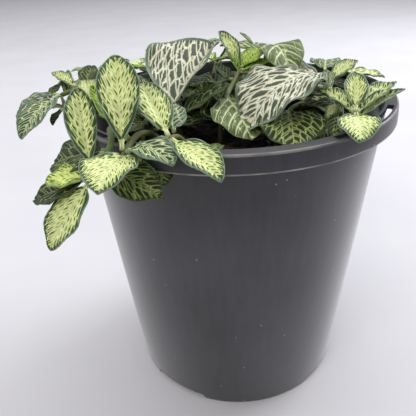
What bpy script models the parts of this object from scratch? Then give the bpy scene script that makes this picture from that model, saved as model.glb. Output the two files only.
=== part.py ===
"""Potted nerve plant (fittonia) in a plain plastic nursery pot.

Lengths below are in millimetres and become metres through MM.  The origin is the centre
of the pot's underside, with +Z up.  The plant is placed from the rim's centre, and its
shoots are leafy stems that root in the soil, with the leaves in pairs along them.
"""
import bpy
import bmesh
from math import cos, degrees, hypot, pi, radians, sin
from mathutils import Euler, Vector

MM = 0.001
GAP = 0.3                  # clearance between pieces that touch

# Pot
POT_HEIGHT = 139.0
RIM_RADIUS = 70.0          # outer edge of the rim, at the top
BASE_RADIUS = 54.0         # outer edge of the foot
WALL = 1.4
SKIRT_HEIGHT = 7.2         # the band that hangs from the rim
SKIRT_FLARE = 0.7          # how much wider the band is at its lower edge
SKIRT_WALL = 1.5
CHANNEL = 2.7              # gap between the pot's wall and the band, open below
RIM_THICKNESS = 1.6
RIM_ROUND = 0.8
FOOT_RISE = 3.6            # how high the floor is lifted around its middle pad
PAD_RADIUS = 28.0
PAD_SLOPE = 1.5            # the pad's side leans out by this much on its way down
FLOOR = 1.6
POT_STEPS = 72

NOTCH_COUNT = 4            # drain notches through the foot
NOTCH_WIDTH = 32.0
NOTCH_HEIGHT = 3.2
NOTCH_SLOPE = 2.0          # how much narrower half a notch is at its top
NOTCH_DEPTH = 12.0         # through the foot ring, along the radius
NOTCH_BELOW = 1.0          # the cutter starts this far under the foot
DRAIN_HOLE_RADIUS = 5.0
WINDOW_COUNT = 4           # openings in the rim's top, for a hanger's hooks
WINDOW_ARC = 38.0
WINDOW_RIB = 1.6           # the web that crosses each opening
WINDOW_MARGIN = 0.1        # left standing beside the wall and the band
WINDOW_STEPS = 6
FIRST_WINDOW = -44.0
FIRST_NOTCH = -127.0

# Soil
HEADSPACE = 20.0           # from the rim's top down to the soil

# Plant
STEM_RADIUS = 1.2
STEM_LEAD = 1.0            # the upright first stretch, so that a stem's foot is level
STEM_STEPS = 2             # segments between two of a stem's points
LEAF_THICKNESS = 0.6
PETIOLE_WIDTH = 1.5
PETIOLE_SHARE = 0.11       # part of a leaf's length that is its stalk
TIP_HALF_WIDTH = 0.35      # a leaf's end is cut this blunt
BLADE_LEAN = 0.95          # under 1 puts a blade's widest place nearer its stalk
BLADE_FULLNESS = 0.65      # under 1 makes a blade's outline rounder than a sine arch
LEAF_ROWS = 8
LEAF_COLUMNS = 4
SPINE_STEPS = 40           # a multiple of LEAF_ROWS
TANGENT_STEP = 0.1         # how far back along the stem its direction is read
LEAST_LEAN = 0.5           # the sine of the flattest angle that a stalk makes with its stem

PLANTED_RIM = 70.0         # the rim radius that the shoots' places are given for
NEAR_RIM = 60.0            # from here outwards a place keeps its distance to the rim

# Each shoot: its stem's points as (x, y, height over the rim), and its leaves as
# (name, place along the stem, heading, pitch, roll, length, width, droop, fold).
# A place is a point's number, with a fraction between two points.  Angles are degrees:
# heading from +X, pitch up from level, droop the bend from stalk to tip, fold the rise of
# each half of the blade.
SHOOTS = {
    "trailing": {
        "stem": [(-38, -34, None), (-41, -39, -8), (-45, -45, 2), (-45, -53, 4),
                 (-43, -61, 2.5), (-49, -70, -5.5)],
        "leaves": [
            ("hanging", 5, -140, -38, -10, 24, 13.5, 15, 12),
            ("upright", 5, 102, 50, 6, 29, 12, 10, 14),
            ("lime", 5, 146, 14, 0, 12, 8.5, 10, 20),
            ("dark_right", 4.6, -33, -7, 25, 22, 13, 25, 6),
            ("dark_left", 4.3, 142, 6, 0, 25, 12, 20, 8),
            ("side", 5, -176, -6, 0, 17, 10, 10, 10),
        ],
    },
    "front_left": {
        "stem": [(-24, -28, None), (-28, -38, -8), (-32, -48, 1), (-36, -58, 3.2), (-39, -67, 0)],
        "leaves": [
            ("upright", 4, 93, 55, 8, 31, 12.5, 6, 16),
            ("heart", 4, -101, 12, 0, 20, 16.5, 35, 14),
            ("curled", 3.7, -38, 22, 0, 18, 11, 50, 16),
            ("lime", 3.3, 133, 42, 0, 22, 9, 5, 25),
        ],
    },
    "front": {
        "stem": [(-16, -34, None), (-19, -42, -8), (-22, -52, 0.5), (-24, -62, 3.2)],
        "leaves": [
            ("left", 3, 114, 30, 0, 27, 12, 8, 16),
            ("right", 2.4, 94, 14, 20, 22, 10, 8, 10),
            ("over_rim", 3, -52, -3, 0, 24, 12, 22, 16),
        ],
    },
    "left": {
        "stem": [(-46, 16, None), (-54, 15, -8), (-60, 14, 1), (-65, 13, 2.5),
                 (-72, 11, 2.5), (-78, 8, 1)],
        "leaves": [
            ("arching", 5, -113, 2, 0, 30, 13, 45, 8),
            ("edge_on", 5, -163, 14, 0, 22, 9, 75, 10),
            ("upright", 3.8, 150, 30, 0, 13, 8, 10, 20),
            ("dark_upright", 3.4, 82, 30, 0, 14, 9, 10, 16),
            ("broad", 2.5, 45, 30, 0, 20, 11, 15, 14),
        ],
    },
    "centre": {
        "stem": [(-20, -12, None), (-23, -15, -12), (-26, -18, -5), (-27, -20, -1)],
        "leaves": [
            ("large", 3, 60, 29, 12, 46, 32, 12, 20),
            ("left", 2.6, 142, 30, 0, 29, 18, 15, 6),
            ("right", 1.8, 12, 36, 0, 26, 14, 15, 10),
        ],
    },
    "middle": {
        "stem": [(-6, -12, None), (-5, -9, -8), (-2, -6, 1), (0, 2, 2), (3, 12, 3), (6, 23, 5)],
        "leaves": [
            ("folded", 5, 121, 47, 0, 21, 10, 8, 35),
            ("lime_tall", 5, 44, 26, 0, 16, 13, 10, 16),
            ("lime_low", 4.7, 12, 10, 0, 22, 12, 15, 25),
            ("shaded", 4, -165, 6, 0, 24, 16, 15, 8),
            ("pale", 2, -90, -8, 0, 30, 22, 26, 6),
        ],
    },
    "right_middle": {
        "stem": [(16, -24, None), (20, -21, -10), (23, -18, -3), (29, -14, -2),
                 (34, -11, 1), (36, -9, 8)],
        "leaves": [
            ("arching", 5, -149, 16, 0, 38, 32, 62, 10),
            ("inside_rim", 2, -97, 5, 0, 30, 24, 30, 8),
            ("green", 2.8, -48, 14, 0, 19, 12, 40, 14),
        ],
    },
    "right": {
        "stem": [(32, -36, None), (36, -41, -8), (40, -45, 0), (41, -46, 3)],
        "leaves": [
            ("back_left", 3, 113, 13, 0, 21, 9.5, 8, 16),
            ("back", 3, 76, 28, 0, 22, 9.5, 8, 20),
            ("back_right", 2.7, 40, 18, 0, 25, 10.5, 8, 16),
            ("outer", 2.2, 8, 14, 0, 24, 9, 12, 26),
            ("over_rim", 3, -102, 8, 0, 18, 13, 35, 10),
        ],
    },
    "rear_right": {
        "stem": [(36, -4, None), (39, -3, -8), (42, 0, 0), (46, 8, 1), (50, 18, 1), (49, 28, 1)],
        "leaves": [
            ("tip", 2.7, 20, 34, 0, 14, 11, 8, 16),
            ("veined", 2, 148, 14, -20, 29, 22, 15, 8),
            ("rear", 5, 75, 8, 0, 25, 15, 20, 10),
            ("side", 4, -12, 8, 0, 22, 13, 20, 10),
        ],
    },
    "rear_middle": {
        "stem": [(16, 32, None), (18, 34, -8), (20, 37, 2), (21, 40, 9)],
        "leaves": [
            ("arching", 3, -80, 36, 0, 38, 20, 90, 8),
            ("grey", 3, 165, 16, 0, 22, 14, 15, 12),
            ("rear", 2.6, 50, 5, 0, 30, 18, 40, 10),
        ],
    },
    "rear": {
        "stem": [(-8, 40, None), (-7, 46, -8), (-5, 53, 0), (-3, 60, 2)],
        "leaves": [
            ("left", 3, 130, 8, 0, 30, 17, 40, 10),
            ("right", 3, 40, 8, 0, 30, 17, 40, 10),
        ],
    },
    "rear_left": {
        "stem": [(-28, 24, None), (-31, 28, -8), (-34, 33, 0), (-40, 40, 3), (-45, 45, 3.5)],
        "leaves": [
            ("inner", 2.6, 10, 16, 0, 27, 17, 15, 12),
            ("rear", 4, 115, 8, 0, 28, 16, 40, 10),
            ("outer", 4, 190, 10, 0, 26, 15, 35, 10),
        ],
    },
}

# Finishes: sRGB colour, then roughness
POT_BLACK = ((0.20, 0.20, 0.22), 0.45)
SOIL_BROWN = ((0.07, 0.05, 0.04), 0.95)
STEM_GREEN = ((0.45, 0.52, 0.25), 0.60)
LEAF_GREEN = ((0.56, 0.66, 0.36), 0.50)
LEAF_LIME = ((0.60, 0.75, 0.20), 0.50)
LEAF_DARK = ((0.30, 0.42, 0.30), 0.50)


def clear_scene():
    for obj in list(bpy.data.objects):
        bpy.data.objects.remove(obj, do_unlink=True)
    for collection in list(bpy.data.collections):
        bpy.data.collections.remove(collection)


def make_collection(name):
    collection = bpy.data.collections.new(name)
    bpy.context.scene.collection.children.link(collection)
    return collection


def to_linear(value):
    return value / 12.92 if value <= 0.04045 else ((value + 0.055) / 1.055) ** 2.4


def make_material(name, finish):
    colour, roughness = finish
    material = bpy.data.materials.new(name)
    material.use_nodes = True
    shader = material.node_tree.nodes["Principled BSDF"]
    shader.inputs["Base Color"].default_value = [to_linear(c) for c in colour] + [1.0]
    shader.inputs["Roughness"].default_value = roughness
    shader.inputs["Metallic"].default_value = 0.0
    return material


def add_object(name, mesh, collection, finish=None):
    obj = bpy.data.objects.new(name, mesh)
    collection.objects.link(obj)
    if finish is not None:
        mesh.materials.append(make_material(name, finish))
    return obj


def turned(name, profile, steps, collection, finish=None):
    """A body turned round Z from (radius, height) points, in millimetres."""
    mesh = bpy.data.meshes.new(name)
    points = [(radius * MM, 0.0, height * MM) for radius, height in profile]
    edges = [(i, i + 1) for i in range(len(points) - 1)]
    mesh.from_pydata(points, edges, [])
    obj = add_object(name, mesh, collection, finish)
    screw = obj.modifiers.new("turn", "SCREW")
    screw.steps = steps
    screw.render_steps = steps
    screw.use_merge_vertices = True
    screw.merge_threshold = 0.00001
    screw.use_smooth_shade = False
    return obj


def cut(obj, cutter):
    boolean = obj.modifiers.new("cut " + cutter.name, "BOOLEAN")
    boolean.operation = "DIFFERENCE"
    boolean.object = cutter


def hide_cutter(cutter):
    cutter.hide_render = True
    cutter.display_type = "WIRE"


def wall_radius(height):
    """The pot's outer radius under the rim, at a height."""
    top = RIM_RADIUS - SKIRT_WALL - CHANNEL
    return BASE_RADIUS + (top - BASE_RADIUS) * height / POT_HEIGHT


def pot_profile():
    top = POT_HEIGHT
    inside = wall_radius(top) - WALL
    lifted = FOOT_RISE + FLOOR
    inside_floor = wall_radius(lifted) - WALL
    low = top - SKIRT_HEIGHT
    under_rim = top - RIM_THICKNESS
    skirt_in = RIM_RADIUS - SKIRT_WALL
    return [
        (0.0, FLOOR),
        (PAD_RADIUS - PAD_SLOPE, FLOOR),
        (PAD_RADIUS, lifted),
        (inside_floor, lifted),
        (inside, top),
        (RIM_RADIUS - RIM_ROUND, top),
        (RIM_RADIUS + SKIRT_FLARE * RIM_ROUND / SKIRT_HEIGHT, top - RIM_ROUND),
        (RIM_RADIUS + SKIRT_FLARE, low),
        (skirt_in + SKIRT_FLARE, low),
        (skirt_in, under_rim),
        (wall_radius(under_rim), under_rim),
        (wall_radius(RIM_ROUND), RIM_ROUND),
        (BASE_RADIUS - RIM_ROUND, 0.0),
        (BASE_RADIUS - WALL, 0.0),
        (wall_radius(FOOT_RISE) - WALL, FOOT_RISE),
        (PAD_RADIUS + PAD_SLOPE, FOOT_RISE),
        (PAD_RADIUS, 0.0),
        (0.0, 0.0),
    ]


def notch_cutter(index, collection):
    """A block with sloped ends, through the foot only."""
    angle = radians(FIRST_NOTCH + index * 360.0 / NOTCH_COUNT)
    height = NOTCH_HEIGHT + NOTCH_BELOW
    bm = bmesh.new()
    bmesh.ops.create_cube(bm, size=1.0)
    for vert in bm.verts:
        width = NOTCH_WIDTH - (2 * NOTCH_SLOPE if vert.co.z > 0 else 0.0)
        vert.co = (vert.co.x * NOTCH_DEPTH * MM, vert.co.y * width * MM, vert.co.z * height * MM)
    mesh = bpy.data.meshes.new("notch")
    bm.to_mesh(mesh)
    bm.free()
    cutter = add_object("notch_%d" % (index + 1), mesh, collection)
    middle = BASE_RADIUS - WALL / 2
    cutter.location = (middle * cos(angle) * MM, middle * sin(angle) * MM, (NOTCH_HEIGHT - height / 2) * MM)
    cutter.rotation_euler = (0, 0, angle)
    hide_cutter(cutter)
    return cutter


def drain_cutter(index, collection):
    angle = radians(FIRST_NOTCH + index * 360.0 / NOTCH_COUNT)
    middle = (PAD_RADIUS + BASE_RADIUS) / 2
    bm = bmesh.new()
    bmesh.ops.create_cone(bm, cap_ends=True, segments=20, radius1=DRAIN_HOLE_RADIUS * MM,
                          radius2=DRAIN_HOLE_RADIUS * MM, depth=4 * FLOOR * MM)
    mesh = bpy.data.meshes.new("drain")
    bm.to_mesh(mesh)
    bm.free()
    cutter = add_object("drain_%d" % (index + 1), mesh, collection)
    cutter.location = (middle * cos(angle) * MM, middle * sin(angle) * MM, (FOOT_RISE + FLOOR / 2) * MM)
    hide_cutter(cutter)
    return cutter


def window_cutter(index, side, collection):
    """One half of a hanger opening: an arc between the wall and the band."""
    inner = wall_radius(POT_HEIGHT) + WINDOW_MARGIN
    outer = RIM_RADIUS - SKIRT_WALL - WINDOW_MARGIN
    middle = FIRST_WINDOW + index * 360.0 / WINDOW_COUNT
    rib = degrees(WINDOW_RIB / 2 / RIM_RADIUS)
    start, end = (rib, WINDOW_ARC / 2) if side > 0 else (-WINDOW_ARC / 2, -rib)
    low, high = POT_HEIGHT - 2 * RIM_THICKNESS, POT_HEIGHT + RIM_THICKNESS
    bm = bmesh.new()
    rings = []
    for step in range(WINDOW_STEPS + 1):
        angle = radians(middle + start + (end - start) * step / WINDOW_STEPS)
        corners = [(inner, low), (outer, low), (outer, high), (inner, high)]
        rings.append([bm.verts.new((r * cos(angle) * MM, r * sin(angle) * MM, z * MM)) for r, z in corners])
    for a, b in zip(rings, rings[1:]):
        for i in range(4):
            j = (i + 1) % 4
            bm.faces.new((a[i], a[j], b[j], b[i]))
    bm.faces.new(rings[0][::-1])
    bm.faces.new(rings[-1])
    bmesh.ops.recalc_face_normals(bm, faces=bm.faces)
    mesh = bpy.data.meshes.new("window")
    bm.to_mesh(mesh)
    bm.free()
    cutter = add_object("window_%d_%s" % (index + 1, "b" if side > 0 else "a"), mesh, collection)
    hide_cutter(cutter)
    return cutter


def make_pot(parts, cutters):
    pot = turned("pot", pot_profile(), POT_STEPS, parts, POT_BLACK)
    for index in range(NOTCH_COUNT):
        cut(pot, notch_cutter(index, cutters))
        cut(pot, drain_cutter(index, cutters))
    for index in range(WINDOW_COUNT):
        cut(pot, window_cutter(index, -1, cutters))
        cut(pot, window_cutter(index, 1, cutters))


def soil_top():
    return POT_HEIGHT - HEADSPACE


def make_soil(parts):
    top = soil_top()
    lifted = FOOT_RISE + FLOOR + GAP
    profile = [
        (0.0, top),
        (wall_radius(top) - WALL - GAP, top),
        (wall_radius(lifted) - WALL - GAP, lifted),
        (PAD_RADIUS, lifted),
        (PAD_RADIUS - PAD_SLOPE - GAP, FLOOR + GAP),
        (0.0, FLOOR + GAP),
    ]
    return turned("soil", profile, POT_STEPS // 2, parts, SOIL_BROWN)


def stem_points(shoot):
    """The stem's points over the pot's underside, spread with the rim; the first stands on the soil."""
    points = []
    for x, y, z in shoot["stem"]:
        reach = hypot(x, y)
        spread = 1 + (RIM_RADIUS - PLANTED_RIM) * min(1 / NEAR_RIM, 1 / reach)
        height = soil_top() + GAP + STEM_LEAD if z is None else POT_HEIGHT + z
        points.append(Vector((x * spread, y * spread, height)) * MM)
    return points


def smooth_point(points, place):
    """A point on the smooth curve through the stem's points (Catmull-Rom)."""
    last = len(points) - 1
    index = min(int(place), last - 1)
    t = place - index
    before = points[max(index - 1, 0)]
    a, b = points[index], points[index + 1]
    after = points[min(index + 2, last)]
    return 0.5 * (2 * a + (b - before) * t + (2 * before - 5 * a + 4 * b - after) * t ** 2
                  + (3 * a - before - 3 * b + after) * t ** 3)


def make_stem(name, shoot, parts):
    points = stem_points(shoot)
    count = (len(points) - 1) * STEM_STEPS
    route = [points[0] - Vector((0, 0, STEM_LEAD)) * MM]
    route += [smooth_point(points, step / STEM_STEPS) for step in range(count + 1)]
    curve = bpy.data.curves.new("stem_" + name, "CURVE")
    curve.dimensions = "3D"
    curve.bevel_depth = STEM_RADIUS * MM
    curve.bevel_resolution = 2
    curve.use_fill_caps = True
    spline = curve.splines.new("POLY")
    spline.points.add(len(route) - 1)
    for point, place in zip(spline.points, route):
        point.co = (*place, 1.0)
    add_object("stem_" + name, curve, parts, STEM_GREEN)


def half_width(along, width):
    """Half the leaf's width: a narrow stalk, then an oval blade with a pointed tip."""
    stalk = PETIOLE_WIDTH / 2
    if along <= PETIOLE_SHARE:
        return stalk
    s = (along - PETIOLE_SHARE) / (1 - PETIOLE_SHARE)
    blade = width / 2 * sin(pi * min(s ** BLADE_LEAN, 1.0)) ** BLADE_FULLNESS
    return max(blade, stalk * (1 - s) + TIP_HALF_WIDTH)


def leaf_mesh(name, length, width, droop, fold):
    """A leaf along +X from its stalk, its upper side up."""
    bm = bmesh.new()
    bmesh.ops.create_grid(bm, x_segments=LEAF_ROWS, y_segments=LEAF_COLUMNS, size=0.5)
    spine = [(0.0, 0.0)]
    stretch = length / SPINE_STEPS
    for step in range(SPINE_STEPS):
        bend = -radians(droop) * (step + 0.5) / SPINE_STEPS
        x, z = spine[-1]
        spine.append((x + cos(bend) * stretch, z + sin(bend) * stretch))
    for vert in bm.verts:
        along = vert.co.x + 0.5
        across = vert.co.y * 2
        x, z = spine[round(along * SPINE_STEPS)]
        bend = -radians(droop) * along
        half = half_width(along, width)
        rise = radians(fold)
        side = half * across * cos(rise)
        lift = half * abs(across) * sin(rise)
        vert.co = ((x - lift * sin(bend)) * MM, side * MM, (z + lift * cos(bend)) * MM)
    mesh = bpy.data.meshes.new(name)
    bm.to_mesh(mesh)
    bm.free()
    return mesh


def stalk_reach(points, place, outward):
    """From the stem's centre line to the stalk's foot: further where the stalk lies back."""
    clear = STEM_RADIUS + GAP + PETIOLE_WIDTH / 2
    tangent = (smooth_point(points, place) - smooth_point(points, place - TANGENT_STEP)).normalized()
    lean = outward.dot(tangent)
    if place == len(points) - 1 and lean > 0:
        return clear
    return clear / max((1 - lean ** 2) ** 0.5, LEAST_LEAN)


def make_leaf(shoot_name, shoot, leaf, parts):
    name, place, heading, pitch, roll, length, width, droop, fold = leaf
    title = "leaf_%s_%s" % (shoot_name, name)
    finish = LEAF_LIME if "lime" in name else LEAF_DARK if "dark" in name else LEAF_GREEN
    obj = add_object(title, leaf_mesh(title, length, width, droop, fold), parts, finish)
    turn = Euler((radians(roll), -radians(pitch), radians(heading)), "XYZ")
    outward = turn.to_matrix() @ Vector((1, 0, 0))
    points = stem_points(shoot)
    obj.rotation_euler = turn
    obj.location = smooth_point(points, place) + outward * stalk_reach(points, place, outward) * MM
    skin = obj.modifiers.new("thickness", "SOLIDIFY")
    skin.thickness = LEAF_THICKNESS * MM
    skin.offset = 0.0


def main():
    clear_scene()
    parts = make_collection("potted_nerve_plant")
    cutters = make_collection("cutters")
    make_pot(parts, cutters)
    make_soil(parts)
    for name, shoot in SHOOTS.items():
        make_stem(name, shoot, parts)
        for leaf in shoot["leaves"]:
            make_leaf(name, shoot, leaf, parts)


main()
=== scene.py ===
from math import cos, pi, radians, sin

import bpy
import numpy as np
from mathutils import Euler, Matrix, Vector


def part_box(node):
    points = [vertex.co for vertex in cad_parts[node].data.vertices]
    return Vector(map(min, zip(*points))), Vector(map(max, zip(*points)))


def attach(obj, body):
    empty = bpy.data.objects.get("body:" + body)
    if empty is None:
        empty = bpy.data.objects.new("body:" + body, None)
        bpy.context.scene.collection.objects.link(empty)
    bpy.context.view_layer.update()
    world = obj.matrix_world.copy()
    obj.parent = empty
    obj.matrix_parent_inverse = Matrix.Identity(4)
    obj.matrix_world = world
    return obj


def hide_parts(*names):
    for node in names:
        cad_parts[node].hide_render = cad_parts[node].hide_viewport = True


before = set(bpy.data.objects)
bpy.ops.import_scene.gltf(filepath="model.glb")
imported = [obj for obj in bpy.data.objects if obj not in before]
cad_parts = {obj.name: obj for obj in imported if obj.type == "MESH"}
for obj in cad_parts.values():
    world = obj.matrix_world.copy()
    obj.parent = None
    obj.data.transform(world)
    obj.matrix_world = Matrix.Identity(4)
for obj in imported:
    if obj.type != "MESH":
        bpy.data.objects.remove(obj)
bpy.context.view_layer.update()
bpy.ops.object.select_all(action="DESELECT")
mm = 0.001

# Helpers


def hexColour(text, alpha=1.0):
    values = [int(text[i:i + 2], 16) / 255 for i in (1, 3, 5)]
    return [v / 12.92 if v <= 0.04045 else ((v + 0.055) / 1.055) ** 2.4 for v in values] + [alpha]


def addNode(tree, kind, settings, inputs, output=0):
    node = tree.nodes.new("ShaderNode" + kind)
    for key, value in settings.items():
        setattr(node, key, value)
    for key, value in inputs.items():
        if isinstance(value, bpy.types.NodeSocket):
            tree.links.new(value, node.inputs[key])
        else:
            node.inputs[key].default_value = value
    return node.outputs[output]


def setStops(socket, stops):
    ramp = socket.node.color_ramp
    while len(ramp.elements) < len(stops):
        ramp.elements.new(0.5)
    for element, (position, colour) in zip(ramp.elements, stops):
        element.position = position
        element.color = colour
    return socket


def newMaterial(name):
    material = bpy.data.materials.new(name)
    material.use_nodes = True
    return material, material.node_tree, material.node_tree.nodes["Principled BSDF"]


def deselect():
    bpy.ops.object.select_all(action="DESELECT")


def selectOnly(obj):
    deselect()
    obj.select_set(True)
    bpy.context.view_layer.objects.active = obj


def applyModifier(obj, kind, **settings):
    selectOnly(obj)
    modifier = obj.modifiers.new(kind.lower(), kind)
    for key, value in settings.items():
        setattr(modifier, key, value)
    bpy.ops.object.modifier_apply(modifier=modifier.name)
    deselect()


def extrudeRings(rings):
    for (oldRadius, oldHeight), (newRadius, newHeight) in zip(rings, rings[1:]):
        rise = (newHeight - oldHeight) * mm
        bpy.ops.mesh.extrude_edges_move(TRANSFORM_OT_translate={"value": (0, 0, rise)})
        share = newRadius / oldRadius
        bpy.ops.transform.resize(value=(share, share, 1), center_override=(0, 0, 0))


def finishPiece(obj, nodes=()):
    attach(obj, "root")
    if nodes:
        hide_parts(*nodes)


# Camera, light and floor

view = {
    "place": (-12.9, -199.6, 194.3),  # mm
    "pitch": 60.4,  # degrees up from looking straight down
    "roll": -3.04,
    "lens": 38.94,
    "world": "#dfe0e6",
    "worldStrength": 0.64,
    "floor": "#c8c7ca",
    "floorMottle": "#c2c1c5",
    "floorSize": 6.0,  # metres
    "lightAim": (0, 0, 0.1),  # metres, where each light points; their places and sizes are in metres too
    "front": {"place": (-0.55, -0.85, 1.15), "size": 0.9, "power": 7.6, "colour": "#fff8f0"},
    "right": {"place": (0.95, 0.55, 0.85), "size": 0.8, "power": 13.0, "colour": "#f8f9ff"},
    "left": {"place": (-1.0, 0.35, 0.6), "size": 0.8, "power": 3.0, "colour": "#f4f6ff"},
    "top": {"place": (0.0, 0.9, 2.2), "size": 2.6, "power": 36.0, "colour": "#ffffff"},
}


def makeCamera():
    bpy.ops.object.camera_add(location=Vector(view["place"]) * mm)
    camera = bpy.context.object
    camera.name = "camera"
    camera.data.lens = view["lens"]
    camera.data.sensor_width = 36.0
    turn = Euler((radians(view["pitch"]), 0, 0)).to_matrix()
    camera.rotation_euler = (turn @ Euler((0, 0, radians(view["roll"]))).to_matrix()).to_euler()
    camera.data.clip_start = 0.005
    bpy.context.scene.camera = camera


def makeLight(name):
    light = view[name]
    bpy.ops.object.light_add(type="AREA", location=light["place"])
    lamp = bpy.context.object
    lamp.name = name + "_light"
    lamp.data.size = light["size"]
    lamp.data.energy = light["power"]
    lamp.data.color = hexColour(light["colour"])[:3]
    aim = Vector(view["lightAim"]) - lamp.location
    lamp.rotation_euler = aim.to_track_quat("-Z", "Y").to_euler()


def makeFloor():
    bpy.ops.mesh.primitive_plane_add(size=view["floorSize"])
    floor = bpy.context.object
    floor.name = "floor"
    material, tree, shader = newMaterial("matt white board")  # pale, nearly even, faintly mottled
    place = addNode(tree, "TexCoord", {}, {}, 3)
    mottle = addNode(tree, "TexNoise", {}, {"Vector": place, "Scale": 9.0, "Detail": 3.0})
    tone = addNode(tree, "ValToRGB", {}, {0: mottle})
    setStops(tone, [(0.3, hexColour(view["floorMottle"])), (0.7, hexColour(view["floor"]))])
    tree.links.new(tone, shader.inputs["Base Color"])
    shader.inputs["Roughness"].default_value = 0.7
    floor.data.materials.append(material)


def makeWorld():
    world = bpy.data.worlds.new("soft studio")
    bpy.context.scene.world = world
    world.use_nodes = True
    background = world.node_tree.nodes["Background"]
    background.inputs["Color"].default_value = hexColour(view["world"])
    background.inputs["Strength"].default_value = view["worldStrength"]


makeCamera()
makeWorld()
bpy.context.scene.view_settings.view_transform = "Standard"
makeFloor()
for lightName in ("front", "right", "left", "top"):
    makeLight(lightName)
print("camera, light and floor")

# Pot

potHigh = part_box("pot")[1]
pot = {
    "steps": 192,
    "height": potHigh[2] / mm,
    "flare": 0.7,  # the band is this much wider at its lower edge
    "footRadius": 54.0,
    "wall": 1.4,
    "bandHeight": 7.2,
    "bandWall": 1.5,
    "channel": 2.7,  # open gap between the wall and the band
    "ledge": 1.6,
    "round": 0.8,
    "footRise": 3.6,
    "padRadius": 28.0,
    "floor": 1.6,
    "notches": 4,
    "firstNotch": -127.0,  # degrees
    "notchWidth": 32.0,
    "notchHeight": 3.2,
    "notchSlope": 2.0,
    "notchDepth": 12.0,
    "notchBelow": 1.0,  # the cut starts this far under the foot
    "drainRadius": 5.0,
    "windows": 4,  # openings for a hanger's hooks
    "firstWindow": -44.0,
    "windowArc": 38.0,
    "rib": 1.6,
}
pot["rimRadius"] = potHigh[0] / mm - pot["flare"]


def wallRadius(height):
    top = pot["rimRadius"] - pot["bandWall"] - pot["channel"]
    return pot["footRadius"] + (top - pot["footRadius"]) * height / pot["height"]


def arc(centreRadius, centreHeight, size, start, end, steps):
    points = []
    for step in range(steps + 1):
        angle = radians(start + (end - start) * step / steps)
        points.append((centreRadius + size * cos(angle), centreHeight + size * sin(angle)))
    return points


def potRings():
    top, rim, wall, lift = pot["height"], pot["rimRadius"], pot["wall"], pot["footRise"]
    low = top - pot["bandHeight"]
    under = top - pot["ledge"]
    skirtIn = rim - pot["bandWall"]
    floorTop = lift + pot["floor"]
    inside = wallRadius(top) - wall
    rings = [(pot["padRadius"], 0.0), (pot["padRadius"] + 1.5, lift)]
    rings += [(wallRadius(lift) - wall, lift), (pot["footRadius"] - wall, 0.4)]
    rings += arc(pot["footRadius"] - pot["round"], pot["round"], pot["round"], -90, 0, 5)
    rings += [(wallRadius(h), h) for h in np.linspace(3.0, under - 0.4, 12)]
    rings += [(wallRadius(under) + 0.4, under), (skirtIn - 0.4, under), (skirtIn + 0.1, under - 0.5)]
    rings += [(skirtIn + pot["flare"], low + 0.3)]
    rings += arc(rim + pot["flare"] - 0.75, low + 0.45, 0.5, -135, -10, 4)
    rings += [(rim + pot["flare"] * 0.5, low + 3.5)]
    rings += arc(rim - pot["round"] + 0.08, top - pot["round"], pot["round"], 5, 90, 7)
    rings += [(inside + 0.9, top), (inside + 0.3, top - 0.15), (inside, top - 0.6)]
    rings += [(wallRadius(h) - wall, h) for h in np.linspace(top - 6.0, floorTop + 2.0, 8)]
    floorEdge = wallRadius(floorTop) - wall
    rings += [(floorEdge - 0.6, floorTop + 0.3), (floorEdge - 2.0, floorTop)]
    rings += [(pot["padRadius"] - 0.5, floorTop), (pot["padRadius"] - 2.0, pot["floor"])]
    return rings


def potShell():
    rings = potRings()
    bpy.ops.mesh.primitive_circle_add(vertices=pot["steps"], radius=rings[0][0] * mm, fill_type="NGON")
    shell = bpy.context.object
    shell.name = "nursery_pot"
    bpy.ops.object.mode_set(mode="EDIT")
    bpy.ops.mesh.select_mode(type="EDGE")
    bpy.ops.mesh.select_all(action="SELECT")
    bpy.ops.mesh.region_to_loop()
    extrudeRings(rings)
    bpy.ops.mesh.edge_face_add()
    bpy.ops.mesh.select_all(action="SELECT")
    bpy.ops.mesh.normals_make_consistent(inside=False)
    bpy.ops.object.mode_set(mode="OBJECT")
    return shell


def windowCutter(middle, start, end):
    inner = wallRadius(pot["height"]) + 0.1
    outer = pot["rimRadius"] - pot["bandWall"] - 0.1
    low, high = pot["height"] - 2 * pot["ledge"], pot["height"] + pot["ledge"]
    first = radians(middle + start)
    centre = ((inner + outer) / 2 * mm, 0, (low + high) / 2 * mm)
    bpy.ops.mesh.primitive_plane_add(size=1, location=centre, rotation=(radians(90), 0, 0))
    cutter = bpy.context.object
    cutter.scale = ((outer - inner) * mm, (high - low) * mm, 1)
    bpy.ops.object.transform_apply(location=True, rotation=True, scale=True)
    bpy.ops.object.mode_set(mode="EDIT")
    bpy.ops.mesh.select_all(action="SELECT")
    bpy.ops.mesh.spin(steps=12, angle=-radians(end - start), center=(0, 0, 0), axis=(0, 0, 1))
    bpy.ops.mesh.select_all(action="SELECT")
    bpy.ops.mesh.normals_make_consistent(inside=False)
    bpy.ops.object.mode_set(mode="OBJECT")
    reach = max((v.co.y for v in cutter.data.vertices), key=abs)
    cutter.rotation_euler = (0, 0, first if reach > 0 else radians(middle + end))
    return cutter


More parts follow.
